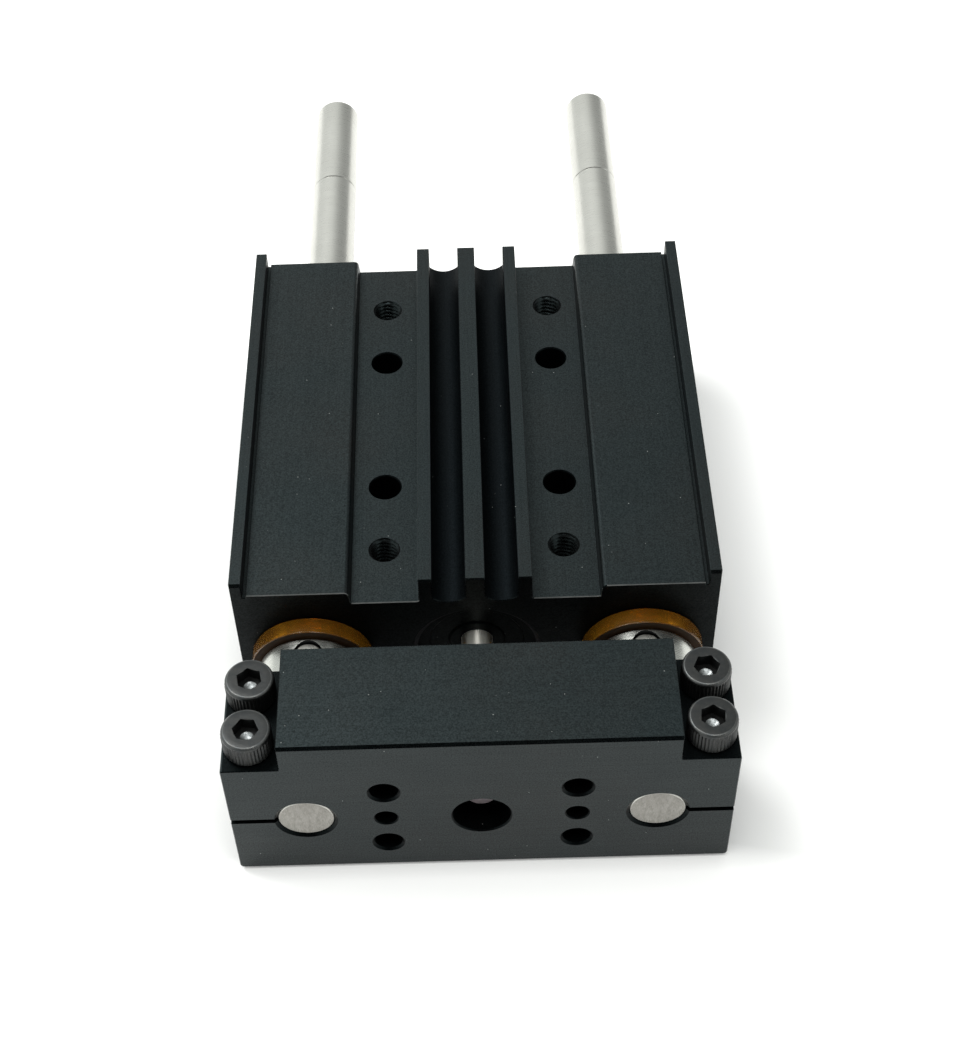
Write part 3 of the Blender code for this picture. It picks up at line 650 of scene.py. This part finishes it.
# slots: end faces, bores, most chamfers, grooves and threads in darker copies (painted shade); pad and flat chamfers
# paled (painted highlight)
housing = prism("housing_body", outline, -HALF_L, HALF_L, widths_for(outline, front_rule),
                widths_for(outline, lambda a, b: 0.16), [EXTRUDED, END_FACE_PAINTED_SHADE, PAINTED_HIGHLIGHT_EDGE, BORE_PAINTED_SHADE, PAINTED_SHADE_EDGE, GROOVE_PAINTED_SHADE, THREAD_PAINTED_LIGHT],
                tag=widths_for(outline, painted_edge_rule), tag_far=widths_for(outline, painted_edge_rule),
                side=widths_for(outline, groove_rule))
cuts = []
for side, sx in SIDES:
    R, RG = 9.55, 10.3
    cuts.append(lathe("bore", [(0, 47.0), (R + 2.0, 47.0), (R, 45.0), (R, 44.6), (RG, 44.6), (RG, 43.3),
                               (R, 43.3), (R, -43.3), (RG, -43.3), (RG, -44.6), (R, -44.6), (R, -45.0),
                               (R + 2.0, -47.0), (0, -47.0)],
                      "Y", (sx * SHAFT_X, 0, AXIS_Z), ()))
    for sy in (-1, 1):
        r, c = 3.0, 0.22
        cuts.append(lathe("plain", [(0, FLAT_Z + 1.4), (r + c + 1.4, FLAT_Z + 1.4), (r, FLAT_Z - c),
                                    (r, c), (r + c + 1.4, -1.4), (0, -1.4)],
                          "Z", (sx * HOLE_X, sy * PLAIN_Y, 0), (), 64))
        cuts.append((thread_cutter("tapped", "Z", (sx * HOLE_X, sy * THREAD_Y, FLAT_Z), 13.0, 2.45, 2.96, 1.0, 2.98), 6))
cuts.append(lathe("cylinder", [(0, 46.5), (13.15, 46.5), (12.0, 45.35), (12.0, 44.9), (12.9, 44.9), (12.9, 43.5),
                               (12.0, 43.5), (12.0, -43.5), (12.9, -43.5), (12.9, -44.9), (12.0, -44.9), (12.0, -45.35),
                               (13.15, -46.5), (0, -46.5)], "Y", (0, 0, AXIS_Z), ()))
for sy in (-1, 1):
    at = (HALF_W, sy * 35.0, AXIS_Z - 11.8)
    cuts.append(thread_cutter("port", "X", at, 8.0, 2.1, 2.48, 0.8, 2.75, segments=28))
    cuts.append(lathe("passage", [(0, -7.0), (1.2, -7.0), (1.2, -40.5), (0, -40.5)], "X", at, (), 20))
cut(housing, cuts)
even_shading(housing)
piece(housing, "carriage", "housing")

# ================================================================== tool plate
half = [(PLATE_HALF_W, PLATE_BOTTOM, 0.75), (PLATE_HALF_W, NOTCH_Z, 0.35), (NOTCH_X, NOTCH_Z, 0.12), (NOTCH_X, PLATE_TOP, 0.14)]
outline = mirrored(half)


def plate_front(a, b):
    if a[1] > PLATE_TOP - 0.05 and b[1] > PLATE_TOP - 0.05:
        return 0.52
    return 0.16


# front chamfers: top and sides take the painted shade edge; bottom chamfers the painted highlight edge
def plate_tag(a, b):
    return 4 if (a[1] > PLATE_TOP - 0.05 and b[1] > PLATE_TOP - 0.05) else 6 if max(a[1], b[1]) < 1.0 else 2


# notch floors take the darker copy (5): painted shade
def notch_rule(a, b):
    return 5 if (min(a[1], b[1]) > NOTCH_Z - 0.05 and min(a[1], b[1]) < NOTCH_Z + 0.05) else 0


plate = prism("tool_plate_body", outline, PLATE_FRONT, PLATE_BACK, widths_for(outline, plate_front),
              widths_for(outline, lambda a, b: 0.18), [MILLED, FACED, PAINTED_SHADE_EDGE, BORE_PAINTED_SHADE, PAINTED_SHADE_EDGE, RECESS_PAINTED_SHADE, PAINTED_HIGHLIGHT_EDGE],
              tag=widths_for(outline, plate_tag), side=widths_for(outline, notch_rule))
cuts = []
for side, sx in SIDES:
    R = SHAFT_R + RUN
    T = PLATE_T
    cuts.append(lathe("clamp_bore", [(0, T + 1.4), (R + 1.75, T + 1.4), (R, T - 0.35),
                                     (R, 0.52), (R + 1.92, -1.4), (0, -1.4)],
                      "Y", (sx * SHAFT_X, PLATE_FRONT, AXIS_Z), ()))
    a, b = sorted((sx * (SHAFT_X + 3.0), sx * (PLATE_HALF_W + 2.0)))
    cuts.append(block("slit", (a, PLATE_FRONT - 2, AXIS_Z - 0.6), (b, PLATE_BACK + 2, AXIS_Z + 0.6)))
    for y in CLAMP_Y:
        cuts.append(lathe("clamp_hole", [(0, 2.0), (2.8, 2.0), (2.8, -26.0), (0, -27.2)], "Z",
                          (sx * CLAMP_X, PLATE_FRONT + y, NOTCH_Z), (), 48))
    for dz in (8.0, -8.0):
        cuts.append(lathe("face", [(0, T + 1.4), (4.32, T + 1.4), (2.5, T - 0.42), (2.5, 0.42), (4.32, -1.4), (0, -1.4)],
                          "Y", (sx * HOLE_X, PLATE_FRONT, AXIS_Z + dz), (), 64))
    cuts.append(lathe("dowel", [(0, T + 1.4), (3.6, T + 1.4), (2.0, T - 0.2), (2.0, 0.2), (3.6, -1.4), (0, -1.4)],
                      "Y", (sx * HOLE_X, PLATE_FRONT, AXIS_Z), (), 48))
cuts.append(lathe("nut_recess", [(0, T + 2), (2.8, T + 2), (2.8, 11.8), (5.1, 11.8), (5.1, 0.25), (6.75, -1.4), (0, -1.4)],
                  "Y", (0, PLATE_FRONT, AXIS_Z), ()))
cut(plate, cuts)
even_shading(plate)
piece(plate, "slide", "tool_plate")


# ================================================================ socket screws
def external_thread(bm, minor, major, pitch, t_top, t_end, segments=24):
    """Closed helical shank below a head, from t_top down to t_end."""
    rows = int((t_top - t_end) / pitch * 6)
    rings = []
    for i in range(rows + 1):
        t = t_top + (t_end - t_top) * i / rows
        taper = min(1.0, max(0.0, (t - t_end) / (pitch * 0.8)))
        start = min(1.0, max(0.0, (t_top - t) / (pitch * 0.8)))
        ring = []
        for j in range(segments):
            a = TAU * j / segments
            ph = (t / pitch - a / TAU) % 1.0
            tri = 1.0 - abs(2.0 * ph - 1.0)
            r = minor + (major - minor) * tri * taper
            r = r * start + (major * 0.96) * (1 - start) if start < 1 else r
            ring.append(bm.verts.new((r * MM * math.cos(a), r * MM * math.sin(a), t * MM)))
        rings.append(ring)
    for a, b in zip(rings, rings[1:]):
        for k in range(segments):
            k2 = (k + 1) % segments
            bm.faces.new((a[k], b[k], b[k2], a[k2]))
    end = bm.verts.new((0, 0, (t_end - 0.2) * MM))
    for k in range(segments):
        bm.faces.new((end, rings[-1][(k + 1) % segments], rings[-1][k]))
    return rings[0]


def cap_screw(name, at, spin, teeth=44):
    """M5 cap screw: knurled head above t = 0, threaded shank below."""
    n = teeth * 4
    bm = bmesh.new()

    def ring(t, r, depth=0.0):
        out = []
        for j in range(n):
            a = TAU * j / n
            w = (1.0, 0.55, 0.0, 0.55)[j % 4]
            q = r - depth * w
            out.append(bm.verts.new((q * MM * math.cos(a), q * MM * math.sin(a), t * MM)))
        return out
    prof = [(0.0, 2.60, 0.0, 0), (0.0, 4.02, 0.0, 0), (0.10, 4.16, 0.0, 0), (0.42, 4.36, 0.17, 1), (0.60, 4.36, 0.17, 1),
            (4.05, 4.36, 0.17, 1), (4.18, 4.36, 0.16, 1), (4.34, 4.27, 0.0, 0), (4.60, 4.25, 0.0, 0), (4.74, 4.19, 0.0, 0),
            (4.90, 4.04, 0.0, 0), (4.97, 3.93, 0.0, 0), (5.0, 3.78, 0.0, 0), (5.0, 2.9, 0.0, 0)]
    rings = [ring(t, r, d) for t, r, d, _ in prof]
    for i, (a, b) in enumerate(zip(rings, rings[1:])):
        for k in range(n):
            k2 = (k + 1) % n
            f = bm.faces.new((a[k], a[k2], b[k2], b[k]))
            # knurl bands (1) take the darker oxide, painted shade; the rounded top edge (5) the lighter oxide, painted
            # highlight
            f.material_index = 1 if (prof[i][3] or prof[i + 1][3]) else (5 if i in (9, 10, 11) else 0)
    top = bm.verts.new((0, 0, 5.0 * MM))
    for k in range(n):
        bm.faces.new((top, rings[-1][k], rings[-1][(k + 1) % n]))
    # under-head face closes on a plain neck, then the thread
    neck = external_thread(bm, 2.08, 2.48, 0.8, -0.6, -24.6)
    under = []
    for j in range(24):
        a = TAU * j / 24
        under.append(bm.verts.new((2.45 * MM * math.cos(a), 2.45 * MM * math.sin(a), 0.0)))
    for k in range(24):
        k2 = (k + 1) % 24
        bm.faces.new((under[k], neck[k], neck[k2], under[k2]))
    edges = []
    inner = rings[0]
    for k in range(n):
        edges.append(bm.edges.get((inner[k], inner[(k + 1) % n])))
    for k in range(24):
        edges.append(bm.edges.get((under[k], under[(k + 1) % 24])))
    bmesh.ops.triangle_fill(bm, use_beauty=True, edges=[e for e in edges if e])
    bmesh.ops.recalc_face_normals(bm, faces=bm.faces)
    # mouth chamfer (2) and top edge (5): painted highlight; hex walls (3): painted shade; socket bottom (4): painted
    # highlight
    obj = placed(name, bm, "Z", at, [OXIDE, OXIDE_KNURL_PAINTED_SHADE, OXIDE_RIM_PAINTED_HIGHLIGHT, OXIDE_DEEP_PAINTED_SHADE, SOCKET_PAINTED_HIGHLIGHT, OXIDE_RIM_PAINTED_HIGHLIGHT])
    key = hexagon(name + "_key", 4.02, 2.5, 6.5, "Z", at, spin)
    mouth = lathe(name + "_mouth", [(0, 6.0), (3.42, 6.0), (1.95, 4.82), (0, 4.82)], "Z", at, (), 48)
    floor = lathe(name + "_floor", [(0, 2.9), (1.20, 2.9), (1.20, 2.46), (0, 1.75)], "Z", at, (), 48)
    cut(obj, [(key, 3), (mouth, 2), (floor, 4)])
    return even_shading(obj)


spins = {("left", 0): 0.42, ("left", 1): 0.18, ("right", 0): 0.95, ("right", 1): 0.62}
for side, sx in SIDES:
    for i, (where, y) in enumerate(zip(("front", "rear"), CLAMP_Y)):
        s = cap_screw("cap_screw_%s_%s" % (where, side), (sx * CLAMP_X, PLATE_FRONT + y, NOTCH_Z + GAP), spins[(side, i)])
        piece(s, "slide", "clamp_screw_%s_%s" % (where, side))

# ================================================= shafts, collars, set screws
for side, sx in SIDES:
    L, R = SHAFT_L, SHAFT_R
    m = L - 29.8
    # both end faces (bands 0 and 9) take the darker end copy: painted shade
    shaft = lathe("guide_shaft_" + side,
                  [(0, L), (R - 0.9, L, 0.2), (R - 0.25, L - 0.3, 0.3), (R, L - 0.9, 0.3), (R, m + 0.22), (R - 0.16, m + 0.08),
                   (R - 0.16, m - 0.08), (R, m - 0.22), (R, 0.66, 0.08), (R - 0.22, 0.40, 0.05), (0, 0.40)],
                  "Y", (sx * SHAFT_X, PLATE_FRONT, AXIS_Z), [SHAFT, SHAFT_END_PAINTED_SHADE], 128, tags={0: 1, 9: 1})
    even_shading(shaft)
    piece(shaft, "slide", "shaft_" + side)

    back = -HALF_L - 2 * GAP - 3.3
    mid = back - 3.5
    # the set-screw hole's walls (3) take the near-black copy: painted shade
    collar = lathe("collar_" + side, [(R + RUN, back, 0.15), (10.0, back, 0.35), (10.0, back - 7.0, 0.35), (R + RUN, back - 7.0, 0.15)],
                   "Y", (sx * SHAFT_X, 0, AXIS_Z), [COLLAR, COLLAR, COLLAR, OXIDE_DEEP_PAINTED_SHADE], 128, hollow=True, steps=3)
    hole = lathe("hole", [(0, 12.0), (5.12, 12.0), (2.88, 9.76), (2.88, 3.0), (0, 3.0)], "Z",
                 (sx * SHAFT_X, mid, AXIS_Z), (), 48)
    cut(collar, [hole])
    even_shading(collar)
    piece(collar, "slide", "stop_collar_" + side)

    grub = lathe("grub_screw_" + side, [(0, 9.75), (2.3, 9.75, 0.08), (2.6, 9.45, 0.08), (2.6, 5.6, 0.08), (2.4, 5.35), (0, 5.35)],
                 "Z", (sx * SHAFT_X, mid, AXIS_Z), [ZINC, ZINC, ZINC, OXIDE, SOCKET_PAINTED_HIGHLIGHT], 48)
    key = hexagon("key", 2.5, 7.5, 12.0, "Z", (sx * SHAFT_X, mid, AXIS_Z), 0.3)
    cut(grub, [(key, 3)])
    even_shading(grub)
    piece(grub, "slide", "set_screw_" + side)

    # the front face (band 2) takes the dark face copy: painted shade
    pad = lathe("amber_pad_" + side, [(R + GAP, -HALF_L - GAP, 0.1), (11.4, -HALF_L - GAP, 0.14), (11.4, -HALF_L - GAP - 3.3, 0.14),
                                      (R + GAP, -HALF_L - GAP - 3.3, 0.1)],
                "Y", (sx * SHAFT_X, 0, AXIS_Z), [AMBER, AMBER_FACE_PAINTED_SHADE], 128, hollow=True, steps=3, tags={2: 1})
    even_shading(pad)
    piece(pad, "slide", "shock_pad_" + side)

    for end, sy in (("front", -1), ("rear", 1)):
        top = 43.0 if sy > 0 else -16.0
        bearing = lathe("bushing_%s_%s" % (end, side),
                        [(R + RUN, top, 0.12), (9.5, top, 0.35), (9.5, top - 27.0, 0.35), (R + RUN, top - 27.0, 0.12)],
                        "Y", (sx * SHAFT_X, 0, AXIS_Z), [BRONZE], 96, hollow=True)
        even_shading(bearing)
        piece(bearing, "carriage", "bearing_%s_%s" % (end, side))


# ============================================================= retaining rings
def circlip(name, outer, width, thick, top, at, lug, gap_deg, mats):
    """Internal retaining ring, open at the bottom, with two drilled lugs."""
    bm = bmesh.new()
    n = 120
    a0, a1 = math.radians(90 + gap_deg), math.radians(450 - gap_deg)     # local +Y is down
    lower, upper = [], []
    for i in range(n + 1):
        a = a0 + (a1 - a0) * i / n
        from_end = min(i, n - i) * (a1 - a0) / n * outer
        swell = 1.0 if from_end < 1.9 else max(0.0, 1.0 - (from_end - 1.9) / 0.8)
        swell = swell * swell * (3 - 2 * swell)
        inner = outer - width * (0.72 + 0.28 * math.sin((a - math.radians(90)) / 2)) - lug * swell
        quad = []
        for r, t in ((outer, top), (inner, top), (inner, top - thick), (outer, top - thick)):
            quad.append(bm.verts.new((r * MM * math.cos(a), r * MM * math.sin(a), t * MM)))
        lower.append(quad)
    for p, q in zip(lower, lower[1:]):
        for k in range(4):
            k2 = (k + 1) % 4
            bm.faces.new((p[k], p[k2], q[k2], q[k]))
    bm.faces.new(lower[0])
    bm.faces.new(list(reversed(lower[-1])))
    bmesh.ops.recalc_face_normals(bm, faces=bm.faces)
    obj = placed(name, bm, "Y", at, mats)
    holes = []
    step = 1.05 / outer
    rc = outer - width * 0.72 - lug * 0.42
    for a in (a0 + step, a1 - step):
        # local X, Y of the turned frame; the ring lies in local XY
        h = lathe("lug", [(0, top + 1), (0.55, top + 1), (0.55, top - thick - 1), (0, top - thick - 1)], "Y", at, (), 20)
        h.matrix_world = obj.matrix_world @ Matrix.Translation((rc * MM * math.cos(a), rc * MM * math.sin(a), 0))
        holes.append(h)
    cut(obj, holes)
    return obj


for side, sx in SIDES:
    for end, sy in (("front", -1), ("rear", 1)):
        top = 44.45 if sy > 0 else -43.45
        ring = circlip("circlip_%s_%s" % (end, side), 10.12, 1.35, 1.0, top, (sx * SHAFT_X, 0, AXIS_Z), 1.5, 13.0,
                       [SPRING, SPRING, SPRING, SPRING])
        piece(ring, "carriage", "bearing_ring_%s_%s" % (end, side))
for name, node, top in (("circlip_gland", "gland_ring", -43.6), ("circlip_head", "head_ring", 44.6)):
    ring = circlip(name, 12.72, 1.7, 1.0, top, (0, 0, AXIS_Z), 1.9, 14.0, [SPRING, SPRING, SPRING, SPRING])
    piece(ring, "carriage", node)

# ===================================================== cylinder gland and head
CR = 12.0 - RUN
# the gland takes the darkened hole copy: painted shade
gland = lathe("rod_gland",
              [(3.05, -31.5), (9.4, -31.5, 0.15), (9.4, -37.2), (CR, -37.2, 0.1), (CR, -39.3, 0.1), (10.3, -39.3), (10.3, -41.3), (CR, -41.3, 0.1),
               (CR, -43.3, 0.25), (9.0, -43.3, 0.06), (8.7, -42.95, 0.06), (5.4, -42.95, 0.06), (5.1, -43.3, 0.06), (3.05, -43.3, 0.3),
               (3.05, -36.6), (5.3, -36.6), (5.3, -34.0), (3.05, -34.0)],
              "Y", (0, 0, AXIS_Z), [BORE_PAINTED_SHADE], 96, hollow=True)
even_shading(gland)
piece(gland, "carriage", "cylinder_gland")
head = lathe("cylinder_head",
             [(0, 42.7), (3.2, 42.7, 0.1), (3.6, 43.3, 0.1), (8.8, 43.3, 0.06), (9.1, 42.95, 0.06), (10.2, 42.95, 0.06), (10.5, 43.3, 0.06),
              (CR, 43.3, 0.25), (CR, 41.3, 0.1), (10.3, 41.3), (10.3, 39.3), (CR, 39.3, 0.1),
              (CR, 37.2, 0.1), (9.4, 37.2), (9.4, 32.5, 0.2), (0, 32.5)],
             "Y", (0, 0, AXIS_Z), [MILLED], 96)
even_shading(head)
piece(head, "carriage", "rear_head")


def seal_ring(name, node, body, y):
    pts = [(11.14 + 0.8 * math.sin(TAU * i / 16), y + 0.8 * math.cos(TAU * i / 16)) for i in range(16)]
    obj = lathe(name, pts, "Y", (0, 0, AXIS_Z), [SEAL], 96, hollow=True)
    piece(obj, body, node)


seal_ring("gland_seal", "gland_o_ring", "carriage", -40.3)
seal_ring("head_seal", "head_o_ring", "carriage", 40.3)
wiper = lathe("rod_wiper", [(5.2, -34.2, 0.1), (3.05, -34.2, 0.25), (3.05, -36.4, 0.25), (5.2, -36.4, 0.1)],
              "Y", (0, 0, AXIS_Z), [SEAL], 64, hollow=True)
piece(wiper, "carriage", "rod_seal")

# ========================================================== rod, nut and piston
B = 31.5
front = PLATE_FRONT + 3.9
# body in the near-white rod copy (painted highlight); front end face (band 7) in the dark end copy (painted shade)
rod = lathe("piston_rod_body",
            [(0, B - 0.5), (2.5, B - 0.5, 0.2), (2.5, B - 12.3), (3.0, B - 12.3, 0.1), (3.0, PLATE_BACK + GAP, 0.25),
             (2.46, PLATE_BACK + GAP), (2.46, front + 0.10), (2.36, front), (0, front)],
            "Y", (0, 0, AXIS_Z), [ROD, ROD_END_PAINTED_SHADE], 96, tags={7: 1})
even_shading(rod)
piece(rod, "slide", "piston_rod")

nut = hexagon("rod_nut_body", 8.0, -2.0, 2.0, "Y", (0, PLATE_FRONT + 9.5, AXIS_Z))
for m in (ZINC, ZINC, ZINC, ZINC):
    nut.data.materials.append(m)
at = (0, PLATE_FRONT + 9.5, AXIS_Z)
ring_cut = [lathe("nut_bore", [(0, 4.0), (3.0, 4.0), (3.0, 2.0), (2.72, 1.7), (2.72, -1.7), (3.0, -2.0), (3.0, -4.0), (0, -4.0)], "Y", at, (), 48),
            lathe("nut_crown", [(3.95, 2.3), (6.0, 2.3), (6.0, 0.9)], "Y", at, (), 64, hollow=True),
            lathe("nut_foot", [(3.95, -2.3), (6.0, -0.9), (6.0, -2.3)], "Y", at, (), 64, hollow=True)]
cut(nut, ring_cut)
even_shading(nut)
piece(nut, "slide", "rod_nut")

piston = lathe("piston_body",
               [(2.8, B, 0.2), (CR, B, 0.25), (CR, B - 1.2), (9.4, B - 1.2), (9.4, B - 3.6), (CR, B - 3.6), (CR, B - 4.8),
                (9.4, B - 4.8), (9.4, B - 7.2), (CR, B - 7.2), (CR, B - 8.4), (9.4, B - 8.4), (9.4, B - 10.8), (CR, B - 10.8),
                (CR, B - 12.0, 0.25), (2.8, B - 12.0, 0.2)],
               "Y", (0, 0, AXIS_Z), [ALLOY], 96, hollow=True)
even_shading(piston)
piece(piston, "slide", "piston")
for name, node, top, outer, mat, slot in (("piston_cup_rear", "piston_seal_rear", B - 1.4, CR, SEAL, "seal_rubber"),
                                          ("piston_magnet_ring", "piston_magnet", B - 5.0, CR - 0.25, MAGNET, "magnet"),
                                          ("piston_cup_front", "piston_seal_front", B - 8.6, CR, SEAL, "seal_rubber")):
    ring = lathe(name, [(outer, top, 0.2), (9.5, top, 0.1), (9.5, top - 2.0, 0.1), (outer, top - 2.0, 0.2)],
                 "Y", (0, 0, AXIS_Z), [mat], 96, hollow=True)
    even_shading(ring)
    piece(ring, "slide", node)

# ====================================================================== stage
bm = bmesh.new()
bmesh.ops.create_grid(bm, x_segments=24, y_segments=24, size=3.0)
floor = placed("floor", bm, "Z", (0, 0, -0.02))
k = Mat("paper")
k.set(Base_Color=k.mix(k.span(k.noise(9.0, 3.0), 0.3, 0.7), (0.86, 0.862, 0.85), (0.835, 0.838, 0.825)), Roughness=0.8,
      Normal=k.bump(k.noise(900.0, 3.0), 0.05, 0.0001), Specular_IOR_Level=0.2)
# the paper glows faintly, a painted light, except under and close around the part, where the missing emission paints a
# shadow
sep = k.node("ShaderNodeSeparateXYZ")
k.t.links.new(k.obj, sep.inputs[0])
dx = k.math("SUBTRACT", k.math("ABSOLUTE", sep.outputs[0]), 0.040)
dy = k.math("SUBTRACT", k.math("ABSOLUTE", k.math("ADD", sep.outputs[1], 0.018)), 0.060)
glow_outside_painted_shadow = k.math("MAXIMUM", k.span(dx, 0.0, 0.034), k.span(dy, 0.0, 0.007))
k.set(Emission_Strength=k.math("MULTIPLY", glow_outside_painted_shadow, 0.41))
k.b.inputs["Emission Color"].default_value = (1.0, 1.0, 0.985, 1.0)
floor.data.materials.append(k.done())

world = bpy.data.worlds.new("studio")
scene.world = world
world.use_nodes = True
nt = world.node_tree
bg = nt.nodes["Background"]
tc = nt.nodes.new("ShaderNodeTexCoord").outputs["Generated"]


def toward(direction, lo, hi, a, b):
    """a..b as the looked-at direction nears the given one."""
    d = nt.nodes.new("ShaderNodeVectorMath")
    d.operation = "DOT_PRODUCT"
    nt.links.new(tc, d.inputs[0])
    d.inputs[1].default_value = Vector(direction).normalized()
    m = nt.nodes.new("ShaderNodeMapRange")
    m.interpolation_type = "SMOOTHSTEP"
    for s, v in zip(("From Min", "From Max", "To Min", "To Max"), (lo, hi, a, b)):
        m.inputs[s].default_value = v
    nt.links.new(d.outputs["Value"], m.inputs["Value"])
    return m.outputs["Result"]


def times(x, y):
    m = nt.nodes.new("ShaderNodeMath")
    m.operation = "MULTIPLY"
    nt.links.new(x, m.inputs[0])
    nt.links.new(y, m.inputs[1])
    return m.outputs[0]


room = toward((0.0, -0.78, 0.62), 0.72, 0.92, 1.0, 0.01)       # the dark side of the room
room = times(room, toward((0.80, 0.55, 0.30), 0.55, 0.95, 1.0, 0.45))
col = nt.nodes.new("ShaderNodeMix")
col.data_type = "RGBA"
nt.links.new(room, col.inputs["Factor"])
col.inputs[6].default_value = (0.0, 0.0, 0.0, 1.0)
col.inputs[7].default_value = (0.97, 1.0, 0.985, 1.0)
nt.links.new(col.outputs[2], bg.inputs["Color"])
bg.inputs["Strength"].default_value = 0.92


def softbox(name, at, aim, size, power, colour=(1, 1, 1)):
    data = bpy.data.lights.new(name, "AREA")
    data.shape = "RECTANGLE"
    data.size, data.size_y = size
    data.energy = power
    data.color = colour
    obj = bpy.data.objects.new(name, data)
    scene.collection.objects.link(obj)
    obj.location = at
    obj.rotation_mode = "QUATERNION"
    obj.rotation_quaternion = (Vector(aim) - Vector(at)).to_track_quat("-Z", "Y")
    return obj


softbox("key", (-0.55, 0.35, 1.25), (0, 0, 0), (0.55, 0.55), 9.0)
softbox("top", (0.05, -0.36, 1.25), (0, 0, 0), (0.50, 0.40), 5.0)

# --------------------------------------------------------------------- camera
cam_data = bpy.data.cameras.new("camera")
cam = bpy.data.objects.new("camera", cam_data)
scene.collection.objects.link(cam)
right = Vector((0.99943483, -0.01346117, -0.03080298))
down = Vector((-0.03039754, -0.75314908, -0.65714721))
ahead = Vector((-0.01435326, 0.65771214, -0.75313261))
rot = Matrix((right, -down, -ahead)).transposed().to_4x4()
cam.matrix_world = Matrix.Translation((0.000852, -0.25197, 0.28992)) @ rot
cam_data.sensor_width = 36.0
cam_data.lens = 1817.94 * 36.0 / 1038.0
cam_data.shift_x = (480.5 - 451.64) / 1038.0
cam_data.shift_y = 0.0
cam_data.clip_start, cam_data.clip_end = 0.01, 20.0
scene.camera = cam
scene.view_settings.view_transform = "Standard"

bpy.context.view_layer.update()
